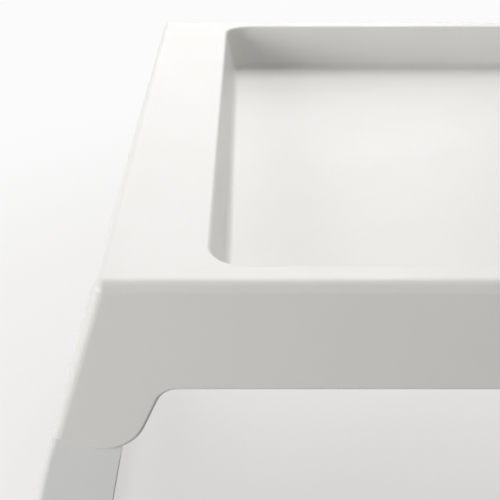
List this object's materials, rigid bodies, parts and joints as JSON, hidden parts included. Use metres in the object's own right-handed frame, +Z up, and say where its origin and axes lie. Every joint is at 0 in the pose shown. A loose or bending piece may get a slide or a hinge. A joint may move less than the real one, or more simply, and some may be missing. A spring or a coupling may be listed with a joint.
{
  "type": "bed tray table",
  "caption": "Bed tray table: moulded tray with a sunk well and deep skirts on two U-shaped leg frames that fold in under it.",
  "frame": {"origin": "on the bed, under the middle of the tray", "axes": "+X along the tray's length, +Z up, the front with the pictured corner faces -Y"},
  "size_m": [0.56, 0.36, 0.26],
  "materials": {
    "tray_plastic": "satin moulded polypropylene",
    "leg_plastic": "satin moulded polypropylene",
    "zinc_steel": "bright zinc plated",
    "pad_rubber": "matt soft pad"
  },
  "bodies": {
    "tray": {"tray_top": "tray_plastic", "left_front_hinge_pin": "zinc_steel", "left_front_pin_clip": "zinc_steel", "left_back_hinge_pin": "zinc_steel", "left_back_pin_clip": "zinc_steel", "right_front_hinge_pin": "zinc_steel", "right_front_pin_clip": "zinc_steel", "right_back_hinge_pin": "zinc_steel", "right_back_pin_clip": "zinc_steel"},
    "left_leg_frame": {"left_front_leg": "leg_plastic", "left_back_leg": "leg_plastic", "left_crossbar": "leg_plastic", "left_crossbar_screws": "zinc_steel", "left_front_foot_pad": "pad_rubber", "left_back_foot_pad": "pad_rubber"},
    "right_leg_frame": {"right_front_leg": "leg_plastic", "right_back_leg": "leg_plastic", "right_crossbar": "leg_plastic", "right_crossbar_screws": "zinc_steel", "right_front_foot_pad": "pad_rubber", "right_back_foot_pad": "pad_rubber"}
  },
  "joints": [
    {"name": "left_fold", "type": "hinge", "parent": "tray", "child": "left_leg_frame", "pos_m": [-0.23067, 0, 0.2], "axis": [0, -1, 0], "range_deg": [0, 103]},
    {"name": "right_fold", "type": "hinge", "parent": "tray", "child": "right_leg_frame", "pos_m": [0.23067, 0, 0.2], "axis": [0, 1, 0], "range_deg": [0, 103]}
  ]
}
